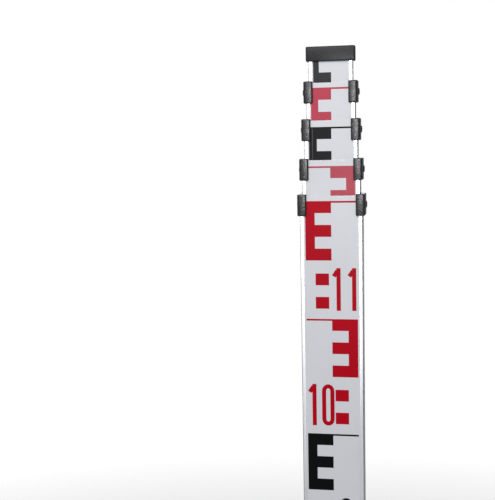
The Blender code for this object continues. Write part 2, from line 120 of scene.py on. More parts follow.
def boxes(u0, u1, v0, v1, w0, w1):
    """Many upright boxes at once. Eight corners each, from every choice of low or high in u, v and w."""
    u0, u1, v0, v1 = np.broadcast_arrays(*(np.atleast_1d(np.asarray(a, float)) for a in (u0, u1, v0, v1)))
    u = np.stack([u0, u1, u1, u0] * 2, axis=1)
    v = np.stack([v0, v0, v1, v1] * 2, axis=1)
    w = np.broadcast_to(np.repeat([w0, w1], 4), u.shape)
    points = np.stack([u, v, w], axis=2).reshape(-1, 3)
    corners = np.array([[0, 3, 2, 1], [4, 5, 6, 7], [0, 1, 5, 4], [1, 2, 6, 5], [2, 3, 7, 6], [3, 0, 4, 7]])
    faces = (corners[None] + 8 * np.arange(len(u))[:, None, None]).reshape(-1, 4)
    return points, [tuple(f) for f in faces.tolist()]


def plate(outline, w0, w1):
    """A flat plate: an outline that runs anticlockwise, repeated at two heights and walled between them."""
    flat = np.asarray(outline, float)
    count = len(flat)
    points = np.vstack([np.column_stack([flat, np.full(count, w)]) for w in (w0, w1)])
    i = np.arange(count)
    walls = np.column_stack([i, (i + 1) % count, (i + 1) % count + count, i + count])
    return points, [tuple(i[::-1].tolist()), tuple((i + count).tolist()), *map(tuple, walls.tolist())]


def ribbon(path, width, w0, w1, closed=False):
    """A pen stroke: at every point of a path, a rectangle as wide as the pen stands square to the path.

    The path's direction is the difference of its neighbours. The pen's edge is that, turned a quarter.
    """
    path = np.asarray(path, float)
    count = len(path)
    if closed:
        along = np.roll(path, -1, axis=0) - np.roll(path, 1, axis=0)
    else:
        along = np.gradient(path, axis=0)
    along /= np.linalg.norm(along, axis=1)[:, None]
    left = np.column_stack([-along[:, 1], along[:, 0]]) * width / 2
    ring = [(path + left, w1), (path + left, w0), (path - left, w0), (path - left, w1)]
    points = np.stack([np.column_stack([p, np.full(count, w)]) for p, w in ring], axis=1).reshape(-1, 3)
    i = np.arange(count if closed else count - 1)[:, None]
    j = np.arange(4)[None]
    k = (i + 1) % count
    here, there, beside = 4 * i, 4 * k, (j + 1) % 4
    quads = np.stack(np.broadcast_arrays(here + j, there + j, there + beside, here + beside), axis=2)
    faces = [tuple(f) for f in quads.reshape(-1, 4).tolist()]
    if not closed:
        last = 4 * (count - 1)
        faces += [(0, 1, 2, 3), (last + 3, last + 2, last + 1, last)]
    return points, faces


class Ink:
    """Collects slabs for one printed face, each with the number of the ink that it is printed in."""

    def __init__(self, face):
        self.face, self.points, self.faces, self.inks, self.count = face, [], [], [], 0

    def add(self, slab, ink=0):
        points, faces = slab
        self.points.append(self.face.place(points))
        self.faces += [tuple(c + self.count for c in f) for f in faces]
        self.inks += [ink] * len(faces)
        self.count += len(points)

    def piece(self, name, body, finishes):
        return mesh_piece(name, np.vstack(self.points), self.faces, finishes, body, face_finish=self.inks)


def mesh_piece(name, points, faces, finishes, body, face_finish=None, smooth=False):
    """Makes one finished piece of arrays, which moves with a body."""
    mesh = bpy.data.meshes.new(name)
    mesh.from_pydata([tuple(p) for p in np.asarray(points).tolist()], [], faces)
    for finish in finishes:
        mesh.materials.append(finish)
    if face_finish is not None:
        mesh.polygons.foreach_set("material_index", np.asarray(face_finish, np.int32))
    if smooth:
        mesh.shade_smooth()
        mesh.set_sharp_from_angle(angle=math.radians(35))
    made = bpy.data.objects.new(name, mesh)
    bpy.context.scene.collection.objects.link(made)
    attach(made, body)
    return made


print("slab makers ready")

# %% [markdown]
# ## Finishes
# Every finish starts from a Principled shader. Small noise textures on Object coordinates move its
# colour, its roughness and its bump a little, because no metal, film or moulding is perfectly even.

# %% A starting point for every finish


class Finish:
    """A Principled material, with short calls for the nodes that these finishes use."""

    def __init__(self, name, colour, roughness, metallic=0.0, specular=0.5):
        self.material = bpy.data.materials.new(name)
        self.material.use_nodes = True
        self.tree = self.material.node_tree
        self.shader = self.tree.nodes["Principled BSDF"]
        self.shader.inputs["Base Color"].default_value = (*colour, 1)
        self.shader.inputs["Roughness"].default_value = roughness
        self.shader.inputs["Metallic"].default_value = metallic
        self.shader.inputs["Specular IOR Level"].default_value = specular
        self.colour = colour
        self.roughness = roughness

    def node(self, kind, **values):
        made = self.tree.nodes.new(kind)
        for key, value in values.items():
            setattr(made, key, value)
        return made

    def link(self, out, into):
        self.tree.links.new(out, into)

    def noise(self, scale, detail=2.0, stretch=(1, 1, 1)):
        """Noise between 0 and 1 with this many lumps a metre, stretched along each axis."""
        place = self.node("ShaderNodeTexCoord")
        mapping = self.node("ShaderNodeMapping")
        mapping.inputs["Scale"].default_value = [scale * s for s in stretch]
        noise = self.node("ShaderNodeTexNoise")
        noise.inputs["Scale"].default_value = 1.0
        noise.inputs["Detail"].default_value = detail
        self.link(place.outputs["Object"], mapping.inputs["Vector"])
        self.link(mapping.outputs["Vector"], noise.inputs["Vector"])
        return noise.outputs["Fac"]

    def spread(self, value, low, high, start=0.3, end=0.7):
        """Carries noise from its middle range onto low to high."""
        band = self.node("ShaderNodeMapRange")
        band.inputs["From Min"].default_value = start
        band.inputs["From Max"].default_value = end
        band.inputs["To Min"].default_value = low
        band.inputs["To Max"].default_value = high
        self.link(value, band.inputs["Value"])
        return band.outputs["Result"]

    def tint(self, value, other, current=None):
        """Mixes the base colour towards another by a value between 0 and 1."""
        mix = self.node("ShaderNodeMix", data_type="RGBA")
        self.link(value, mix.inputs["Factor"])
        if current is None:
            mix.inputs["A"].default_value = (*self.colour, 1)
        else:
            self.link(current, mix.inputs["A"])
        mix.inputs["B"].default_value = (*other, 1)
        self.link(mix.outputs["Result"], self.shader.inputs["Base Color"])
        return mix.outputs["Result"]

    def vary_roughness(self, value, low, high):
        self.link(self.spread(value, low, high), self.shader.inputs["Roughness"])

    def bump(self, value, depth, strength=1.0, under=None):
        """Raises the surface by up to this depth where the value is 1."""
        bump = self.node("ShaderNodeBump")
        bump.inputs["Strength"].default_value = strength
        bump.inputs["Distance"].default_value = depth
        self.link(value, bump.inputs["Height"])
        if under is not None:
            self.link(under, bump.inputs["Normal"])
        self.link(bump.outputs["Normal"], self.shader.inputs["Normal"])
        return bump.outputs["Normal"]


print("finish maker ready")

# %% [markdown]
# ### Anodised aluminium
# The tubes are extruded: hot metal is pushed through a die, which draws fine lines along the whole
# length. Noise squeezed across the tube and stretched along it gives those lines. Anodising leaves a
# satin grey skin.

# %% Anodised aluminium


def anodised_aluminium():
    finish = Finish("anodised aluminium", (0.70, 0.71, 0.735), 0.36, metallic=1.0)
    lines = finish.noise(1400, 3.0, (1, 1, 0.004))
    cloud = finish.noise(35, 3.0, (1, 1, 0.35))
    colour = finish.tint(finish.spread(lines, 0.0, 0.5), (0.60, 0.61, 0.635))
    finish.tint(finish.spread(cloud, 0.0, 0.35), (0.76, 0.77, 0.79), colour)
    finish.vary_roughness(finish.noise(900, 2.0, (1, 1, 0.01)), 0.30, 0.43)
    finish.bump(lines, 0.00003, 0.5)
    return finish.material


ALUMINIUM = anodised_aluminium()
print("made", ALUMINIUM.name)

# %% [markdown]
# ### Printed films
# The front film is a cool white lacquer, the back one a silver lacquer with a fine sparkle. Sprayed
# lacquer has an orange-peel surface: soft lumps under a millimetre wide. The inks are printed on top with
# the same skin.

# %% Films and inks
PEEL_SCALE = 900
FILM_GLOSS = 0.22


def lacquer(name, colour, other, roughness, specular, sparkle=0.0):
    finish = Finish(name, colour, roughness, specular=specular)
    cloud = finish.noise(28, 3.0)
    mixed = finish.tint(finish.spread(cloud, 0.0, 1.0), other)
    if sparkle:
        grain = finish.noise(2600, 1.0)
        lighter = tuple(min(1.0, c * (1 + sparkle)) for c in colour)
        mixed = finish.tint(finish.spread(grain, 0.0, 0.8, 0.45, 0.62), lighter, mixed)
    peel = finish.noise(PEEL_SCALE, 1.5)
    finish.vary_roughness(peel, roughness - 0.05, roughness + 0.06)
    finish.bump(peel, 0.00004, 0.35)
    return finish.material


FILM_COLOUR = (0.636, 0.643, 0.676)
WHITE_FILM = lacquer("white lacquer", FILM_COLOUR, (0.616, 0.624, 0.660), 0.34, FILM_GLOSS)
SILVER_FILM = lacquer("silver lacquer", (0.545, 0.558, 0.598), (0.515, 0.528, 0.570), 0.36, 0.3, sparkle=0.14)
INK_GLOSS = 0.05
# How far each section's ink is painted towards the film's white: painted sheen, none on the lowest section.
PAINTED_SHEEN_SHARE = {1: 0.0, 2: 0.10, 3: 0.012, 4: 0.07, 5: 0.055}


def ink_over_film(name, colour, section):
    """Paints sheen into the ink: the ink's colour mixed towards the film's white by its section's share,
    standing in for a lamp's reflection on the upper sections.
    """
    share = PAINTED_SHEEN_SHARE[section]
    mixed = [(1 - share) * c + share * f for c, f in zip(colour, FILM_COLOUR)]
    return lacquer(f"{name} {section}", tuple(mixed), tuple(0.92 * c for c in mixed), 0.32, INK_GLOSS)


# Sections 2 to 5 print in a paler, pinker red than section 1: painted sheen, where a lamp's reflection lies
# on the upper sections.
RED, RED_WITH_PAINTED_SHEEN = (0.432, 0.0008, 0.0100), (0.470, 0.0200, 0.0520)
BLACK_INK = {k: ink_over_film("black ink", (0.0042, 0.0042, 0.0050), k) for k in SECTIONS}
RED_INK = {k: ink_over_film("red ink", RED if k == 1 else RED_WITH_PAINTED_SHEEN, k) for k in SECTIONS}
SEAM = lacquer("pale seam", (0.085, 0.086, 0.092), (0.050, 0.050, 0.055), 0.45, INK_GLOSS)
WHITE_INK = lacquer("white ink", (0.60, 0.61, 0.63), (0.57, 0.58, 0.61), 0.36, FILM_GLOSS)
print("films and inks:", 3 + len(BLACK_INK) + len(RED_INK))

# %% [markdown]
# ### Black moulding
# The collars and plugs are moulded plastic. The steel mould is etched, so the plastic comes out with a fine
# grain. Two noises, one coarse and one fine, make the grain in the bump. The fine one also lifts the colour
# at its peaks into pale specks, painted glints of the grain catching light, and the coarse one lifts it in
# broader patches. The cap has less grain and less shine than the collars.

# %% Black moulding


def black_moulding(name, smoothest, roughest, relief, specular):
    finish = Finish(name, (0.0055, 0.0055, 0.007), roughest, specular=specular)
    grain = finish.noise(1700, 2.0)
    coarse = finish.noise(620, 2.0)
    # Pale specks at the fine grain's peaks: painted glints, where the grain catches light.
    painted_glints = finish.tint(finish.spread(grain, 0.0, 0.8, 0.56, 0.74), (0.026, 0.026, 0.030))
    finish.tint(finish.spread(coarse, 0.0, 0.8, 0.52, 0.68), (0.022, 0.022, 0.025), painted_glints)
    finish.vary_roughness(coarse, smoothest, roughest)
    under = finish.bump(grain, relief * 0.6, 0.7)
    finish.bump(coarse, relief, 0.7, under)
    return finish.material


BLACK_PLASTIC = black_moulding("black moulding", 0.20, 0.34, 0.00014, 0.5)
CAP_PLASTIC = black_moulding("matt black moulding", 0.30, 0.42, 0.00006, 0.22)
print("made", BLACK_PLASTIC.name)

# %% [markdown]
# ### Small metal parts
# Zinc plating is a slightly blue, cloudy steel. The buttons are brass under nickel. The rivets' domes are
# painted black and the broken stem in the middle of each stays bright.

# %% Small metal parts


def plated(name, colour, roughness, scale):
    finish = Finish(name, colour, roughness, metallic=1.0)
    cloud = finish.noise(scale, 3.0)
    darker = tuple(c * 0.82 for c in colour)
    finish.tint(finish.spread(cloud, 0.0, 0.7), darker)
    finish.vary_roughness(finish.noise(scale * 3, 2.0), roughness - 0.06, roughness + 0.10)
    finish.bump(finish.noise(scale * 6, 2.0), 0.00002, 0.4)
    return finish.material


def black_paint():
    finish = Finish("black rivet paint", (0.020, 0.020, 0.022), 0.34, specular=0.5)
    chips = finish.noise(1500, 3.0)
    finish.tint(finish.spread(chips, 0.0, 1.0, 0.66, 0.72), (0.22, 0.22, 0.23))
    finish.vary_roughness(finish.noise(800), 0.28, 0.44)
    finish.bump(chips, 0.00003, 0.4)
    return finish.material


ZINC = plated("zinc plate", (0.60, 0.615, 0.64), 0.34, 260)
BRIGHT_STEEL = plated("bright rivet steel", (0.74, 0.745, 0.76), 0.24, 700)
NICKEL = plated("nickel over brass", (0.70, 0.675, 0.62), 0.24, 420)
RIVET_PAINT = black_paint()
print("small metals:", ZINC.name, BRIGHT_STEEL.name, NICKEL.name, RIVET_PAINT.name)

# %% [markdown]
# ## Dressing the solids
# The solids already have the right shape, so most of them only need their finish put in their material
# slot.

# %% Give the solids their finishes


def finish_for(name):
    """A solid's finish goes by what its name starts with."""
    table = {
        "tube": ALUMINIUM,
        "front_scale": WHITE_FILM,
        "back_scale": SILVER_FILM,
        "collar": BLACK_PLASTIC,
        "top_cap": BLACK_PLASTIC,
        "guide_plug": BLACK_PLASTIC,
        "foot_plug": BLACK_PLASTIC,
        "foot_plate": ZINC,
        "foot_screw": ZINC,
        "plug_pin": ZINC,
        "lock_spring": ZINC,
        "lock_button": NICKEL,
    }
    return next((v for k, v in table.items() if name.startswith(k)), BRIGHT_STEEL)


for name, node in NODES.items():
    node.data.materials.clear()
    node.data.materials.append(finish_for(name))
print("dressed", len(NODES), "solids")

# %% [markdown]
# ## Digits drawn with a pen
# The numbers are tall and narrow with round turns. A font file would have to be loaded, so each digit is
# a few pen strokes instead: straight runs and half rounds, with the pen's width added by the ribbon
# maker. The strokes are planned on the pen's middle line in a box one digit wide.

# %% Strokes of the ten digits
TURN_STEPS = 7


def turn(centre, radius, start, end, steps=TURN_STEPS):
    """Part of an ellipse: centre plus radius times cosine and sine, between two angles in degrees."""
    angle = np.radians(np.linspace(start, end, steps + 1))
    return np.column_stack([centre[0] + radius[0] * np.cos(angle), centre[1] + radius[1] * np.sin(angle)])


def chain(*runs):
    return np.vstack([np.atleast_2d(np.asarray(r, float)) for r in runs])


def bezier(p, q, r, s, steps=8):
    """A smooth bend: the four points weighted by the cubic Bernstein shares."""
    t = np.linspace(0, 1, steps + 1)[:, None]
    p, q, r, s = (np.asarray(a, float)[None] for a in (p, q, r, s))
    return (1 - t) ** 3 * p + 3 * (1 - t) ** 2 * t * q + 3 * (1 - t) * t**2 * r + t**3 * s


def loop(a, low, high, rise):
    """A closed upright ring with round ends: half width a, between two heights, whose ends rise this much."""
    return chain(turn((0, high - rise), (a, rise), 0, 180), turn((0, low + rise), (a, rise), 180, 360))


def digit(character, width, height, pen):
    """The strokes of one digit as (path, closed), on the pen's middle line, standing on v = 0 about u = 0."""
    a, low, high = (width - pen) / 2, pen / 2, height - pen / 2
    rise = 1.15 * a
    middle = height * 0.52
    bowl = min(rise, (middle - low) * 0.48)
    over = turn((0, high - rise), (a, rise), 0, 180)
    under = turn((0, low + rise), (a, rise), 0, -180)
    if character == "0":
        return [(loop(a, low, high, rise), True)]
    if character == "1":
        stem = a * 0.45
        flag = chain((stem - pen * 0.25, high - pen * 0.15), (stem - pen * 1.15, high - height * 0.145))
        return [(chain((stem, 0), (stem, height)), False), (flag, False)]
    if character == "2":
        fall = bezier((a, high - rise), (a, height * 0.55), (-a, height * 0.33), (-a, pen))
        foot = chain((-a - pen / 2, low), (a + pen / 2, low))
        return [(chain(over[::-1], fall[1:]), False), (foot, False)]
    if character == "3":
        upper = turn((a - bowl, middle + bowl), (bowl, bowl), 0, -90)
        lower = turn((a - bowl, middle - bowl), (bowl, bowl), 90, 0)
        return [(chain(over[::-1], upper), False), (chain(lower, under), False)]
    if character == "4":
        bar = height * 0.26
        stem = a * 0.5
        slope = chain((stem * 0.3, height), (-a, bar))
        cross = chain((-a - pen * 0.35, bar), (a + pen / 2, bar))
        return [(slope, False), (cross, False), (chain((stem, 0), (stem, height * 0.46)), False)]
    if character == "5":
        shoulder = height * 0.60
        head = chain((-a - pen / 2, high), (a + pen / 2, high))
        stem = chain((-a, height), (-a, shoulder - bowl * 0.7))
        belly = chain(turn((0, shoulder - rise), (a, rise), 150, 0), under)
        return [(head, False), (stem, False), (belly, False)]
    if character == "6":
        back = chain(over, (-a, low + rise))
        return [(loop(a, low, height * 0.60, rise), True), (back, False)]
    if character == "7":
        head = chain((-a - pen / 2, high), (a + pen / 2, high))
        leg = bezier((a, high), (a * 0.9, height * 0.6), (-a * 0.2, height * 0.4), (-a * 0.35, 0))
        return [(head, False), (leg, False)]
    if character == "8":
        lower = loop(a, low, middle + pen * 0.25, bowl)
        upper = loop(a, middle - pen * 0.25, high, bowl)
        return [(lower, True), (upper, True)]
    if character == "9":
        six = digit("6", width, height, pen)
        return [(np.array([0, height]) - path, closed) for path, closed in six]
    raise ValueError(character)


LAYER_STEP = 0.006 * MM


def write(ink, text, centre, width, height, pen, pitch, w0, w1, colour=0):
    """A row of digits about a centre. Each stroke lies a hair above the last, so none share a plane."""
    start = centre[0] - pitch * (len(text) - 1) / 2
    for i, character in enumerate(text):
        for layer, (path, closed) in enumerate(digit(character, width, height, pen)):
            moved = path + [start + pitch * i, centre[1] - height / 2]
            ink.add(ribbon(moved, pen, w0, w1 + layer * LAYER_STEP, closed), colour)


print("strokes in each digit:", {c: len(digit(c, 2, 5, 0.6)) for c in "0123456789"})

# %% [markdown]
# ## The E graduation in front
# Each decimetre starts with a thin line right across. Under it, five one-centimetre steps make a bold E
# that can be read through a telescope; the lower half has two squares and the decimetre's number. The E
# changes sides at each decimetre, and the colour changes at each metre: black, red, black, red, black.

# %% Plan of one decimetre
INK_LOW, INK_HIGH = -0.02 * MM, 0.08 * MM
CENTIMETRE = 0.01
DECIMETRE = 0.1
FRONT_MARGIN = {1: 1.35 * MM, 2: 1.2 * MM, 3: 1.1 * MM, 4: 1.0 * MM, 5: 1.0 * MM}
SPINE = {1: 8.0 * MM, 2: 7.4 * MM, 3: 6.6 * MM, 4: 6.1 * MM, 5: 4.8 * MM}
E_PAST_MIDDLE = {1: 0.0, 2: 0.5 * MM, 3: 0.5 * MM, 4: 0.5 * MM, 5: 0.5 * MM}
LINE_THICKNESS = 1.45 * MM
SQUARE_WIDTH = 11.3 * MM
SQUARE_FROM_MIDDLE = 2.3 * MM
SQUARE_DROP = 1.1 * MM  # the squares are printed this much below their centimetre
SEAMED = 3  # the section whose highest E has a narrow pale line up its spine
SEAM_SHARE, SEAM_WIDTH, SEAM_DROP = 0.44, 0.7 * MM, 0.8 * MM
LABEL_HEIGHT = 36.3 * MM
LABEL_WIDTH = 10.6 * MM
LABEL_PEN = 3.5 * MM
LABEL_MIDDLE = 25.4 * MM  # above the decimetre's foot
LABEL_FACE = 21.8 * MM  # half the printed width that these label sizes are for
LABEL_PITCH, ELEVEN_PITCH = 13.4 * MM, 13.1 * MM  # two ones stand a little closer
LABEL_FROM_MIDDLE = 0.49  # as a share of half the printed width


def e_outline(outer, spine, inner, bottom, side):
    """An E five centimetres tall, anticlockwise: spine at the outer edge, arms to the inner one."""
    v = bottom + CENTIMETRE * np.arange(6)
    right = [
        (outer, v[0]), (inner, v[0]), (inner, v[1]), (spine, v[1]), (spine, v[2]), (inner, v[2]),
        (inner, v[3]), (spine, v[3]), (spine, v[4]), (inner, v[4]), (inner, v[5]), (outer, v[5]),
    ]
    return right if side < 0 else right[::-1]


def clip_top(outline, top):
    flat = np.asarray(outline, float).copy()
    flat[:, 1] = np.minimum(flat[:, 1], top)
    return flat


def decimetre_colour(number):
    """Label 1 to 9 black, 10 to 20 red, then black and red again every ten."""
    return 0 if number <= 9 or 21 <= number <= 30 or number >= 41 else 1


def e_side(section, number):
    """-1 for an E at the reader's left and +1 at the right. It changes at every decimetre."""
    odd_left = section <= 2
    return -1 if (number % 2 == 1) == odd_left else 1


def print_front(section):
    face = FRONT[section]
    ink = Ink(face)
    offset = OFFSETS[section]
    half = face.half - FRONT_MARGIN[section]
    low, high = face.bottom + MM, face.top - 0.5 * MM
    first = math.floor((low + offset) / DECIMETRE)
    last = math.ceil((high + offset) / DECIMETRE)
    highest = math.ceil((high + offset - 5 * CENTIMETRE) / DECIMETRE) - 1
    for step in range(first, last):
        number = step + 1
        foot = step * DECIMETRE - offset
        colour = decimetre_colour(number)
        side = e_side(section, number)
        head = foot + DECIMETRE
        if head <= high:
            line = boxes(-half, half, head - LINE_THICKNESS, head, INK_LOW, INK_HIGH)
            ink.add(line, colour)
        outer = side * half
        spine = side * (half - SPINE[section])
        inner = -side * E_PAST_MIDDLE[section]
        top = min(head - LINE_THICKNESS, high)
        if foot + 5 * CENTIMETRE > low and foot + 5 * CENTIMETRE < high:
            outline = clip_top(e_outline(outer, spine, inner, foot + 5 * CENTIMETRE, side), top)
            ink.add(plate(outline, INK_LOW, INK_HIGH), colour)
            if section == SEAMED and step == highest:
                middle = outer + (spine - outer) * SEAM_SHARE
                left, right = middle - SEAM_WIDTH / 2, middle + SEAM_WIDTH / 2
                heel = foot + 5 * CENTIMETRE
                near_side, far_side = min(outer, spine), max(outer, spine)
                ink.add(boxes(near_side, far_side, heel - SEAM_DROP, heel, INK_LOW, INK_HIGH), colour)
                ink.add(boxes(left, right, heel - SEAM_DROP, top, INK_LOW, INK_HIGH + 0.01 * MM), 2)
        near, far = side * SQUARE_FROM_MIDDLE, side * (SQUARE_FROM_MIDDLE + SQUARE_WIDTH)
        for rise in (1, 3):
            bottom = foot + rise * CENTIMETRE - SQUARE_DROP
            if bottom > low and bottom + CENTIMETRE < high:
                square = boxes(min(near, far), max(near, far), bottom, bottom + CENTIMETRE, INK_LOW, INK_HIGH)
                ink.add(square, colour)
        label_low = foot + LABEL_MIDDLE - LABEL_HEIGHT / 2
        if label_low > low and label_low + LABEL_HEIGHT < high:
            write_label(ink, str(number), side, foot, colour, half)
    finishes = [BLACK_INK[section], RED_INK[section], SEAM]
    return ink.piece(f"front_print_{section}", f"section_{section}", finishes)


def write_label(ink, text, side, foot, colour, half):
    """The decimetre's number, in the half of the face that the E leaves free."""
    scale = half / LABEL_FACE
    width, pen = LABEL_WIDTH * scale, LABEL_PEN * scale**0.5
    pitch = (ELEVEN_PITCH if text == "11" else LABEL_PITCH) * scale
    middle = (-side * half * LABEL_FROM_MIDDLE, foot + LABEL_MIDDLE)
    write(ink, text, middle, width, LABEL_HEIGHT, pen, pitch, INK_LOW, INK_HIGH, colour)


for section in SECTIONS:
    made = print_front(section)
    print(made.name, len(made.data.polygons), "faces")

# %% [markdown]
# ## The centimetre scale behind
# A person beside the rod reads this side up close. Both edges carry a line every millimetre, longer at
# half and whole centimetres, and every centimetre has its number. Every fifth is white in a black box
# with a dot on each side. The first digit counts metres, so all numbers have three digits.

# %% Plan of the scale
TICK_EDGE = 0.25 * MM
MM_TICK, HALF_TICK, CM_TICK = 2.5 * MM, 4.5 * MM, 6.3 * MM
TICK_THICK = 0.36 * MM
LONG_THICK = 0.46 * MM
NUMBER_WIDTH, NUMBER_HEIGHT, NUMBER_PEN, NUMBER_PITCH = 2.1 * MM, 5.1 * MM, 0.66 * MM, 2.5 * MM
BOX_WIDTH, BOX_HEIGHT, BOX_CORNER = 9.5 * MM, 8.7 * MM, 1.3 * MM
BOX_NUMBER_WIDTH, BOX_NUMBER_HEIGHT, BOX_NUMBER_PEN = 2.3 * MM, 6.9 * MM, 0.72 * MM
BOX_NUMBER_PITCH = 2.6 * MM
DOT_RADIUS = 0.72 * MM
HOLE_MARGIN = 0.3 * MM


def rounded_box(centre, width, height, corner):
    """A rectangle with round corners: four quarter turns, one about each corner's own centre."""
    u, v = centre
    half, rise = width / 2 - corner, height / 2 - corner
    middles = [(u + half, v - rise), (u + half, v + rise), (u - half, v + rise), (u - half, v - rise)]
    return chain(*(turn(m, (corner, corner), 90 * i - 90, 90 * i, 5) for i, m in enumerate(middles)))


def hole_heights(section):
    """Where the round holes lie in this section's back, from the buttons that use them."""
    found = []
    if section > 1:
        found.append(button_height(section))
    if section < 5:
        parked = button_height(section + 1)
        found += [parked, parked + travels()[f"section_{section + 1}"]]
    return found


def button_height(section):
    low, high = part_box(f"lock_button_{section}")
    return (low.z + high.z) / 2


def button_reach():
    low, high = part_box("lock_button_2")
    return (high.z - low.z) / 2 - 1.2 * MM


HOLE_RADIUS = button_reach() + 0.4 * MM


def clear_of_holes(section, heights, reach):
    """True for each height whose mark, this tall either way, misses every hole."""
    clear = np.ones(len(heights), bool)
    for hole in hole_heights(section):
        clear &= np.abs(heights - hole) > HOLE_RADIUS + reach - HOLE_MARGIN
    return clear


def print_back(section):
    face = BACK[section]
    ink = Ink(face)
    offset = OFFSETS[section]
    edge = face.half - TICK_EDGE
    first = math.ceil((face.bottom + MM + offset) / MM)
    last = math.floor((face.top - MM + offset) / MM)
    ticks = np.arange(first, last + 1)
    height = ticks * MM - offset
    whole, half = ticks % 10 == 0, ticks % 5 == 0
    length = np.where(whole, CM_TICK, np.where(half, HALF_TICK, MM_TICK)) * min(1.0, face.half / (13.8 * MM))
    thick = np.where(half, LONG_THICK, TICK_THICK) / 2
    for side in (-1, 1):
        near, far = side * (edge - length), np.full(len(length), side * edge)
        left, right = np.minimum(near, far), np.maximum(near, far)
        ink.add(boxes(left, right, height - thick, height + thick, INK_LOW, INK_HIGH))
    centimetres = ticks[whole] // 10
    at = height[whole]
    plain = (centimetres % 5 != 0) & clear_of_holes(section, at, NUMBER_HEIGHT / 2)
    boxed = (centimetres % 5 == 0) & clear_of_holes(section, at, BOX_HEIGHT / 2 - 0.5 * MM)
    inside = (at > face.bottom + BOX_HEIGHT) & (at < face.top - NUMBER_HEIGHT / 2 - 0.5 * MM)
    for number, v in zip(centimetres[plain & inside], at[plain & inside]):
        write(
            ink, f"{number:03d}", (0, v),
            NUMBER_WIDTH, NUMBER_HEIGHT, NUMBER_PEN, NUMBER_PITCH, INK_LOW, INK_HIGH,
        )
    dot = edge - CM_TICK * min(1.0, face.half / (13.8 * MM)) - DOT_RADIUS * 0.5
    for number, v in zip(centimetres[boxed & inside], at[boxed & inside]):
        ink.add(plate(rounded_box((0, v), BOX_WIDTH, BOX_HEIGHT, BOX_CORNER), INK_LOW, INK_HIGH))
        write(
            ink, f"{number:03d}", (0, v),
            BOX_NUMBER_WIDTH, BOX_NUMBER_HEIGHT, BOX_NUMBER_PEN, BOX_NUMBER_PITCH,
            INK_HIGH - 0.02 * MM, INK_HIGH + 0.03 * MM, 1,
        )
        for side in (-1, 1):
            spot = turn((side * dot, v), (DOT_RADIUS, DOT_RADIUS), 0, 330, 11)
            ink.add(plate(spot, INK_LOW, INK_HIGH + 0.01 * MM))
    return ink.piece(f"back_print_{section}", f"section_{section}", [BLACK_INK[1], WHITE_INK])


for section in SECTIONS:
    made = print_back(section)
    print(made.name, len(made.data.polygons), "faces")

# %% [markdown]
# ## Moulded collars and the top cap
# A moulding has no sharp edges, and its round edges are what a black piece is seen by: each one bends a
# strip of light and dark round it. So the collars and the cap get finer copies than the solids have. Each
# is a stack of closed outlines. An outline starts as corners joined by straight edges; every corner then
# becomes an arc, and the outlines near the top and bottom are set in along a quarter circle, which rolls
# those edges over too.

# %% Outlines of the tubes
CORNER_SLOPE = math.radians(57)  # between the back and the sloping corner beside it
CORNER_REACH = 6.35 * MM
ARC_STEPS = 5


def tube_plan(section, grow):
    """A tube's plan, anticlockwise from the right front, with its faces moved out by this much."""
    low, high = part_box(f"tube_{section}")
    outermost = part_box("tube_1")[1]
    set_in = outermost.x - high.x - grow
    side, front, back = high.x + grow, low.y - grow, high.y + grow
    flat = outermost.x - CORNER_REACH - set_in * math.tan(CORNER_SLOPE / 2)
    fall = CORNER_REACH * math.tan(CORNER_SLOPE)
    fall += set_in * (1 - math.sin(CORNER_SLOPE)) / math.cos(CORNER_SLOPE)
    shoulder = outermost.y - fall
    right = [(side, front), (side, shoulder), (flat, back)]
    return right + [(-x, y) for x, y in reversed(right)]


def set_in_corners(corners, amounts):
    """Moves each edge in along its normal, then finds each corner where its two edges' lines cross."""
    points = np.asarray(corners, float)
    along = np.roll(points, -1, axis=0) - points
    along /= np.linalg.norm(along, axis=1)[:, None]
    inward = np.column_stack([-along[:, 1], along[:, 0]])
    start = points + inward * np.asarray(amounts, float)[:, None]
    before, before_way = np.roll(start, 1, axis=0), np.roll(along, 1, axis=0)
    gap = start - before
    cross = before_way[:, 0] * along[:, 1] - before_way[:, 1] * along[:, 0]
    share = (gap[:, 0] * along[:, 1] - gap[:, 1] * along[:, 0]) / cross
    return before + before_way * share[:, None]


def round_corners(corners, radii):
    """Every corner becomes an arc that touches both of its edges.

    The touching points are the radius times the tangent of half the turn away from the corner.
    Two neighbours' arcs have to fit on the edge that they share, or the outline would cross itself.
    """
    points = np.asarray(corners, float)
    back = np.roll(points, 1, axis=0) - points
    forth = np.roll(points, -1, axis=0) - points
    back /= np.linalg.norm(back, axis=1)[:, None]
    forth /= np.linalg.norm(forth, axis=1)[:, None]
    half_turn = (np.pi - np.arccos(np.clip((back * forth).sum(axis=1), -1, 1))) / 2
    radii = np.asarray(radii, float)
    reach = radii * np.tan(half_turn)
    edge = np.linalg.norm(np.roll(points, -1, axis=0) - points, axis=1)
    if (reach + np.roll(reach, -1) > edge).any():
        raise ValueError("two corner arcs are too wide for the edge between them")
    middle = back + forth
    middle /= np.linalg.norm(middle, axis=1)[:, None]
    centre = points + middle * (radii / np.cos(half_turn))[:, None]
    swing = np.linspace(-1, 1, ARC_STEPS)[None, :] * half_turn[:, None]
    across = forth - middle * (forth * middle).sum(axis=1)[:, None]
    across /= np.linalg.norm(across, axis=1)[:, None]
    arc = np.sin(swing)[..., None] * across[:, None] - np.cos(swing)[..., None] * middle[:, None]
    return (centre[:, None] + radii[:, None, None] * arc).reshape(-1, 2)


def roll_over(radius, steps=4):
    """Set-in and height along a quarter circle, from the flat end inwards."""
    swing = np.linspace(0, np.pi / 2, steps + 1)
    return radius * (1 - np.sin(swing)), radius * (1 - np.cos(swing))


print("outline tools ready; outermost plan:", len(tube_plan(1, 0)), "corners")

# %% Stack outlines into a solid


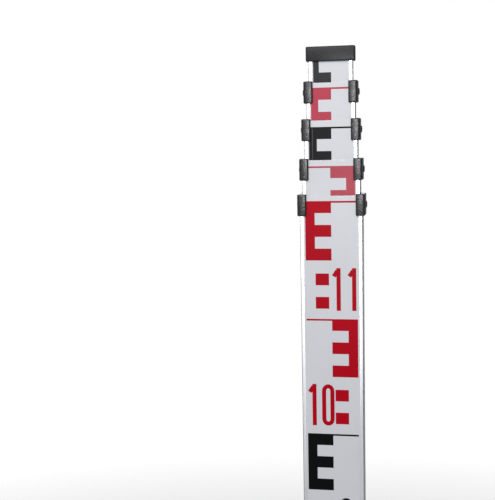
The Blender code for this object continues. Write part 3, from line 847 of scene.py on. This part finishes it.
def stacked(rings):
    """Walls between closed outlines of the same count, with a face across the first one and the last one."""
    count = len(rings[0])
    points = np.vstack(rings)
    i, j = np.arange(len(rings) - 1)[:, None] * count, np.arange(count)[None]
    k = (j + 1) % count
    quads = np.stack(np.broadcast_arrays(i + j, i + k, i + count + k, i + count + j), axis=2).reshape(-1, 4)
    first = tuple(range(count))[::-1]
    last = tuple(len(points) - count + c for c in range(count))
    return points, [first, last] + [tuple(q) for q in quads.tolist()]


def ring(plan, height):
    return np.column_stack([plan, np.full(len(plan), height)])


print("stacking ready")

# %% Collars
COLLAR_ROLL = 1.0 * MM
COLLAR_RADII = [1.3, 2.0, 1.2, 0.8, 0.45]  # in millimetres, from the lip's end round to the back panel
INNER_RADIUS = 0.12  # in millimetres too
COLLAR_SHARPEST = 0.1 * MM
SEAT_ABOVE_TUBE = 0.2 * MM  # from the tube's end to the step that the next tube passes
STEP_RISE, ROLL_ABOVE_SEAT = 0.05 * MM, 0.1 * MM
COLLAR_FIT, RIM_FIT = 0.15 * MM, 0.20 * MM
COLLAR_LIP = 5.6 * MM
PANEL_INSET = 3.2 * MM


def collar_corners(section):
    """The C's outer corners and lip ends. It wraps the back and sides and hooks over the front."""
    low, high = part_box(f"collar_{section}")
    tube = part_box(f"tube_{section}")[1]
    grow = high.x - tube.x
    outer = tube_plan(section, grow)
    flat = tube_plan(section, 0)[2][0]
    panel = (flat - PANEL_INSET, high.y)
    right = [(tube.x - COLLAR_LIP, low.y), (high.x, low.y), outer[1], outer[2], panel]
    return right + [(-x, y) for x, y in reversed(right)]


def inner_corners(section, grow, lip):
    """The inside of the C, clockwise seen from above, from the left lip's end to the right one's."""
    plan = tube_plan(section, grow)
    front = plan[0][1]
    return [(-lip, front)] + plan[::-1] + [(lip, front)]


def make_collar(section):
    low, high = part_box(f"collar_{section}")
    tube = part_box(f"tube_{section}")[1]
    lip = tube.x - COLLAR_LIP
    outside = collar_corners(section)
    seat = outside + inner_corners(section, COLLAR_FIT, lip)
    passage = outside + inner_corners(section + 1, RIM_FIT, lip)
    radii = np.array(COLLAR_RADII + COLLAR_RADII[::-1] + [INNER_RADIUS] * 8) * MM
    moves = np.array([1.0] * 10 + [0.0] * 7 + [1.0])
    amount, rise = roll_over(COLLAR_ROLL)
    ceiling = tube.z + SEAT_ABOVE_TUBE
    squeeze = min(1.0, (high.z - ceiling - ROLL_ABOVE_SEAT) / COLLAR_ROLL)
    levels = [(low.z + z, a, seat) for a, z in zip(amount, rise)]
    levels += [(ceiling, 0.0, seat), (ceiling + STEP_RISE, 0.0, passage)]
    levels += [(high.z - z * squeeze, a, passage) for a, z in zip(amount[::-1], rise[::-1])]
    rings = []
    for height, set_in, corners in levels:
        moved = set_in_corners(corners, moves * set_in)
        plan = round_corners(moved, np.maximum(radii - moves * set_in, COLLAR_SHARPEST))
        rings.append(ring(plan, height))
    points, faces = stacked(rings)
    name, body = f"collar_{section}_moulding", f"section_{section}"
    made = mesh_piece(name, points, faces, [BLACK_PLASTIC], body, smooth=True)
    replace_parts(made, f"collar_{section}")
    return made


for section in COLLARED:
    made = make_collar(section)
    print(made.name, len(made.data.polygons), "faces")

# %% Top cap
CAP_ROLL = 0.9 * MM
CAP_CORNER, CAVITY_CORNER = 1.1 * MM, 0.15 * MM
CAP_SHARPEST = 0.15 * MM
CAVITY_ABOVE_TUBE = 0.3 * MM


def make_cap():
    """A tray upside down on the innermost tube: its cavity's roof, its rim, its sides and its rolled top."""
    low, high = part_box("top_cap")
    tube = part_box("tube_5")[1]
    outside = tube_plan(5, high.x - tube.x)
    cavity = tube_plan(5, COLLAR_FIT)
    ones = np.ones(len(outside))
    inner = round_corners(cavity, ones * CAVITY_CORNER)
    rings = [ring(inner, tube.z + CAVITY_ABOVE_TUBE), ring(inner, low.z)]
    amount, rise = roll_over(CAP_ROLL)
    levels = [(low.z + z, a) for a, z in zip(amount, rise)]
    levels += [(high.z - z, a) for a, z in zip(amount[::-1], rise[::-1])]
    for height, set_in in levels:
        moved = set_in_corners(outside, ones * set_in)
        plan = round_corners(moved, np.maximum(CAP_CORNER - ones * set_in, CAP_SHARPEST))
        rings.append(ring(plan, height))
    points, faces = stacked(rings)
    finishes = [CAP_PLASTIC]
    made = mesh_piece("top_cap_moulding", points, faces, finishes, "section_5", smooth=True)
    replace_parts(made, "top_cap")
    return made


made = make_cap()
print(made.name, len(made.data.polygons), "faces")

# %% [markdown]
# ## Blind rivets
# A blind rivet is set from one side: its stem is pulled until it snaps, which leaves a domed head with
# the stem's end sunk in the middle. It is a turned shape, so one profile of radius against height, swept
# round a circle, gives the whole surface. Its poles are closed with a single point each.

# %% Turned rivets
RIVET_SIDES = 40


def turned_surface(profile, centre, direction):
    """A profile of (radius, height) spun about an axis: radius times cosine and sine across it.

    The profile runs from the outer pole down to the inner pole, and both are on the axis.
    """
    radius, height = np.asarray(profile, float).T
    axis = np.asarray(direction, float)
    across = np.array([0.0, 0.0, 1.0])
    other = np.cross(axis, across)
    angle = np.linspace(0, 2 * np.pi, RIVET_SIDES, endpoint=False)
    ring = np.cos(angle)[:, None] * across + np.sin(angle)[:, None] * other
    rows = len(radius) - 2
    body = radius[1:-1, None, None] * ring[None] + height[1:-1, None, None] * axis
    points = np.vstack([axis * height[0], body.reshape(-1, 3), axis * height[-1]]) + np.asarray(centre, float)
    i, j = np.arange(rows - 1)[:, None], np.arange(RIVET_SIDES)[None]
    k = (j + 1) % RIVET_SIDES
    start = 1 + i * RIVET_SIDES
    below = start + RIVET_SIDES
    quads = np.stack(np.broadcast_arrays(start + j, below + j, below + k, start + k), axis=2)
    j, k = np.arange(RIVET_SIDES), (np.arange(RIVET_SIDES) + 1) % RIVET_SIDES
    last = len(points) - 1
    end = 1 + (rows - 1) * RIVET_SIDES
    top = np.column_stack([np.zeros_like(j), 1 + j, 1 + k])
    bottom = np.column_stack([np.full_like(j, last), end + k, end + j])
    faces = [tuple(f) for f in top.tolist()] + [tuple(f) for f in quads.reshape(-1, 4).tolist()]
    return points, faces + [tuple(f) for f in bottom.tolist()]


def rivet_profile(head, dome, stem, grip, shank):
    """The broken stem's end, the sunk ring round it, the dome, its rolled edge, and the shank behind."""
    rolled = 0.16 * MM
    slope = np.linspace(0.12, 1.0, 9) * np.pi / 2
    reach = head - rolled - stem * 1.35
    arc = [(stem * 1.35 + reach * math.sin(s), rolled + (dome - rolled) * math.cos(s)) for s in slope]
    rim = [(head, rolled * 0.55), (head - rolled * 0.3, 0.0)]
    middle = [
        (0.0, dome * 0.66), (stem * 0.55, dome * 0.64), (stem * 0.86, dome * 0.52), (stem, dome * 0.36),
        (stem * 1.12, dome * 0.36), (stem * 1.2, dome * 0.86),
    ]
    return middle + arc + rim + [(shank, -0.001 * MM), (shank, -grip), (0.0, -grip)]


def make_rivet(node, direction, body, head, dome, stem, painted):
    """Stands in for one solid rivet, seated where its head's underside was."""
    low, high = (np.array(c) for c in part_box(node))
    axis = np.array(direction, float)
    middle = (low + high) / 2
    outer = high if axis.sum() > 0 else low
    seat = middle * (1 - np.abs(axis)) + (outer * np.abs(axis) - axis * dome)
    length = float(np.abs((high - low) @ axis))
    points, faces = turned_surface(rivet_profile(head, dome, stem, length - dome, 1.6 * MM), seat, axis)
    across = np.linalg.norm((points - seat) - ((points - seat) @ axis)[:, None] * axis, axis=1)
    bright = [1 if max(across[list(f)]) < stem * 1.15 else 0 for f in faces]
    finishes = [RIVET_PAINT, BRIGHT_STEEL] if painted else [BRIGHT_STEEL, ZINC]
    made = mesh_piece(f"{node}_set", points, faces, finishes, body, bright, smooth=True)
    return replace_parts(made, node) or made


def side_rivet_names():
    for section in COLLARED:
        for side, way in (("left", -1), ("right", 1)):
            yield f"collar_rivet_{section}_{side}", way, f"section_{section}", True
    for side, way in (("left", -1), ("right", 1)):
        yield f"foot_rivet_{side}", way, "section_1", False


for node, way, body, painted in side_rivet_names():
    make_rivet(node, (way, 0, 0), body, 3.25 * MM, 1.1 * MM, 1.0 * MM, painted)
make_rivet("cap_rivet", (0, 1, 0), "section_5", 2.4 * MM, 0.9 * MM, 0.85 * MM, False)
print("set", 2 * len(COLLARED) + 3, "rivets")

# %% [markdown]
# ## Stage, light and camera
# A pale floor fades into a white surround. The surround is white to the camera and in reflections, and
# gentler as a light, so the colours come out as written. A soft box high in front and one behind light
# both faces. A small bright card that only reflections can see gives the collars on the right their
# sheen, and dark cards at the sides give the sloping corners of the metal something dark to mirror, as
# they have in a studio.

# %% Surround
SURROUND_LIGHT = 0.43


def make_world():
    world = bpy.data.worlds.new("studio")
    world.use_nodes = True
    tree = world.node_tree
    tree.nodes.clear()
    seen = tree.nodes.new("ShaderNodeBackground")
    lit = tree.nodes.new("ShaderNodeBackground")
    seen.inputs["Color"].default_value = (1, 1, 1, 1)
    lit.inputs["Color"].default_value = (0.985, 0.99, 1.0, 1)
    lit.inputs["Strength"].default_value = SURROUND_LIGHT
    path = tree.nodes.new("ShaderNodeLightPath")
    either = [tree.nodes.new("ShaderNodeMath") for _ in range(2)]
    rays = (("Is Camera Ray", "Is Glossy Ray"), (None, "Is Transmission Ray"))
    for step, (first, second) in zip(either, rays):
        step.operation = "MAXIMUM"
        tree.links.new(path.outputs[first] if first else either[0].outputs[0], step.inputs[0])
        tree.links.new(path.outputs[second], step.inputs[1])
    mix = tree.nodes.new("ShaderNodeMixShader")
    out = tree.nodes.new("ShaderNodeOutputWorld")
    tree.links.new(either[1].outputs[0], mix.inputs[0])
    tree.links.new(lit.outputs[0], mix.inputs[1])
    tree.links.new(seen.outputs[0], mix.inputs[2])
    tree.links.new(mix.outputs[0], out.inputs[0])
    bpy.context.scene.world = world


make_world()
print("surround ready")

# %% Floor
FLOOR_RADIUS = 2.6
FLOOR_FADE = 1.0
FLOOR_SIDES = 96
FLOOR_HEIGHT = -0.4 * MM


def make_floor():
    """A round floor whose edge fades away, so that no line shows where it ends."""
    angle = np.linspace(0, 2 * np.pi, FLOOR_SIDES, endpoint=False)
    across, along = FLOOR_RADIUS * np.cos(angle), FLOOR_RADIUS * np.sin(angle)
    points = np.column_stack([across, along, np.full(FLOOR_SIDES, FLOOR_HEIGHT)])
    mesh = bpy.data.meshes.new("floor")
    mesh.from_pydata([tuple(p) for p in points.tolist()], [], [tuple(range(FLOOR_SIDES))])
    finish = Finish("pale floor", (0.90, 0.90, 0.905), 0.7, specular=0.2)
    place = finish.node("ShaderNodeTexCoord")
    length = finish.node("ShaderNodeVectorMath", operation="LENGTH")
    finish.link(place.outputs["Object"], length.inputs[0])
    band = finish.spread(length.outputs["Value"], 1.0, 0.0, FLOOR_FADE, FLOOR_RADIUS)
    finish.link(band, finish.shader.inputs["Alpha"])
    mesh.materials.append(finish.material)
    floor = bpy.data.objects.new("floor", mesh)
    bpy.context.scene.collection.objects.link(floor)


make_floor()
print("floor ready")

# %% Lamps and cards


def aim(thing, target):
    """Turns a lamp, card or camera so that its -Z axis points at the target."""
    away = np.asarray(target, float) - np.array(thing.location)
    thing.rotation_mode = "QUATERNION"
    thing.rotation_quaternion = mathutils.Vector(away).to_track_quat("-Z", "Y")


def soft_box(name, place, target, width, height, brightness, colour=(1, 1, 1)):
    """An area lamp given by how bright its face looks: its power is brightness times pi times its area."""
    lamp = bpy.data.lights.new(name, "AREA")
    lamp.shape = "RECTANGLE"
    lamp.size, lamp.size_y = width, height
    lamp.energy = brightness * math.pi * width * height
    lamp.color = colour
    made = bpy.data.objects.new(name, lamp)
    made.location = place
    bpy.context.scene.collection.objects.link(made)
    aim(made, target)
    return made


def mirror_card(name, place, target, width, height, tone):
    """A dark or bright card that only reflections can see: it lights and shades nothing by itself."""
    x, y = width / 2, height / 2
    points = [(-x, -y, 0), (x, -y, 0), (x, y, 0), (-x, y, 0)]
    mesh = bpy.data.meshes.new(name)
    mesh.from_pydata(points, [], [(0, 1, 2, 3)])
    material = bpy.data.materials.new(name)
    material.use_nodes = True
    tree = material.node_tree
    tree.nodes.clear()
    glow = tree.nodes.new("ShaderNodeEmission")
    glow.inputs["Color"].default_value = (tone, tone, tone * 1.03, 1)
    out = tree.nodes.new("ShaderNodeOutputMaterial")
    tree.links.new(glow.outputs[0], out.inputs[0])
    mesh.materials.append(material)
    made = bpy.data.objects.new(name, mesh)
    made.location = place
    bpy.context.scene.collection.objects.link(made)
    aim(made, target)
    made.visible_camera = made.visible_diffuse = made.visible_shadow = made.visible_transmission = False
    return made


BRIGHTNESS = 5.85
UPPER_SECTIONS = (0, 0, 1.15)
soft_box("key", (-0.20, -0.92, 1.75), UPPER_SECTIONS, 0.9, 0.6, BRIGHTNESS)
soft_box("back key", (-0.25, 0.95, 1.75), UPPER_SECTIONS, 0.9, 0.6, BRIGHTNESS)
mirror_card("sheen card", (0.07, -1.80, 1.08), UPPER_SECTIONS, 0.36, 0.34, 23.0)
mirror_card("right card", (1.3, 0.1, 0.9), (0, 0.1, 0.9), 2.2, 3.2, 0.16)
mirror_card("left card", (-1.3, 0.1, 0.9), (0, 0.1, 0.9), 2.2, 3.2, 0.22)
mirror_card("low front card", (0, -1.8, 0.30), (0, 0, 0.9), 2.4, 0.60, 0.14)
mirror_card("low back card", (0, 1.8, 0.27), (0, 0, 0.9), 2.4, 0.55, 0.35)
mirror_card("behind right card", (0.42, 1.5, 1.0), (0, 0, 1.0), 0.62, 1.9, 0.12)
mirror_card("behind left card", (-0.62, 1.5, 1.0), (0, 0, 1.0), 0.62, 1.9, 0.12)
mirror_card("top card", (0, 0, 2.7), (0, 0, 1.0), 2.4, 2.4, 0.2)
print("lamps and cards ready")

# %% Camera
FOCAL_SHARE = 960 / 500  # focal length as a share of the view's longer side
CAMERA_PLACE = (0.0772, -0.8137, 1.1505)
HEADING = math.radians(10.54)  # to the left of straight ahead, so the rod stands right of the middle
LOOKING_DOWN = math.radians(6.43)
CAMERA_ROLL = math.radians(-1.16)


def make_camera():
    camera = bpy.data.cameras.new("camera")
    camera.sensor_width = 36.0
    camera.lens = 36.0 * FOCAL_SHARE
    camera.clip_start, camera.clip_end = 0.01, 50
    made = bpy.data.objects.new("camera", camera)
    bpy.context.scene.collection.objects.link(made)
    made.location = CAMERA_PLACE
    made.rotation_mode = "XYZ"
    tilt_up = mathutils.Matrix.Rotation(math.pi / 2 - LOOKING_DOWN, 4, "X")
    turn_round = mathutils.Matrix.Rotation(HEADING, 4, "Z")
    roll = mathutils.Matrix.Rotation(CAMERA_ROLL, 4, "Z")
    made.rotation_euler = (turn_round @ tilt_up @ roll).to_euler()
    bpy.context.scene.camera = made


make_camera()
bpy.context.scene.view_settings.view_transform = "Standard"
print("camera ready")

# %% Finish
print("scene ready")
